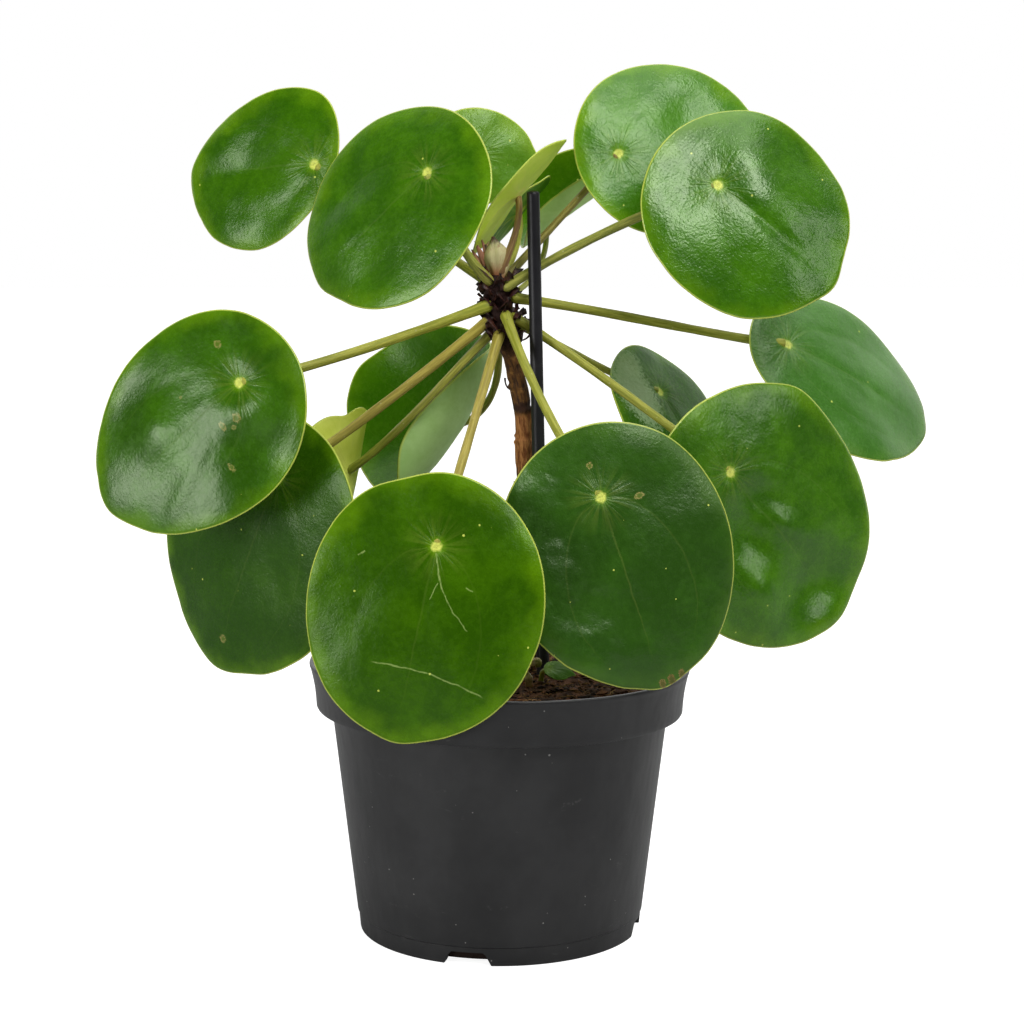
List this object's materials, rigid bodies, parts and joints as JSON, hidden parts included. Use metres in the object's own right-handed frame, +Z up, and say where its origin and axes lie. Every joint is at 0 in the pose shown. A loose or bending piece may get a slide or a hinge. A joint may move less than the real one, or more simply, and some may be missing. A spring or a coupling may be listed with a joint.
{
  "type": "potted chinese money plant",
  "caption": "Chinese money plant with round, coin-like leaves on long stalks, growing in a round tapered black nursery pot with a thin support stake.",
  "frame": {"origin": "centre of the pot's underside, on the flat middle of its floor", "axes": "+Z up along the pot's axis, -Y the front that most leaves face, +X the right-hand side"},
  "size_m": [0.2653, 0.1216, 0.2722],
  "materials": {
    "pot_plastic": "satin moulded plastic, scuffed and dusty",
    "potting_soil": "crumbly damp peat",
    "stake": "satin",
    "bark": "rough bark",
    "bud": "papery sheath",
    "stalk": "smooth, slightly translucent",
    "leaf": "waxy gloss above, paler and duller below"
  },
  "bodies": {
    "root": {"pot": "pot_plastic", "soil": "potting_soil", "support_stake": "stake", "trunk": "bark", "terminal_bud": "bud", "leaf_01_stalk": "stalk", "leaf_02_stalk": "stalk", "leaf_03_stalk": "stalk", "leaf_04_stalk": "stalk", "leaf_05_stalk": "stalk", "leaf_06_stalk": "stalk", "leaf_07_stalk": "stalk", "leaf_08_stalk": "stalk", "leaf_09_stalk": "stalk", "leaf_10_stalk": "stalk", "leaf_11_stalk": "stalk", "leaf_12_stalk": "stalk", "leaf_13_stalk": "stalk", "leaf_14_stalk": "stalk", "leaf_15_stalk": "stalk", "leaf_16_stalk": "stalk", "leaf_17_stalk": "stalk", "leaf_01_blade": "leaf", "leaf_02_blade": "leaf", "leaf_03_blade": "leaf", "leaf_04_blade": "leaf", "leaf_05_blade": "leaf", "leaf_06_blade": "leaf", "leaf_07_blade": "leaf", "leaf_08_blade": "leaf", "leaf_09_blade": "leaf", "leaf_10_blade": "leaf", "leaf_11_blade": "leaf", "leaf_12_blade": "leaf", "leaf_13_blade": "leaf", "leaf_14_blade": "leaf", "leaf_15_blade": "leaf", "leaf_16_blade": "leaf", "leaf_17_blade": "leaf", "seedling_stem": "stalk", "seedling_blade": "leaf"}
  },
  "joints": []
}
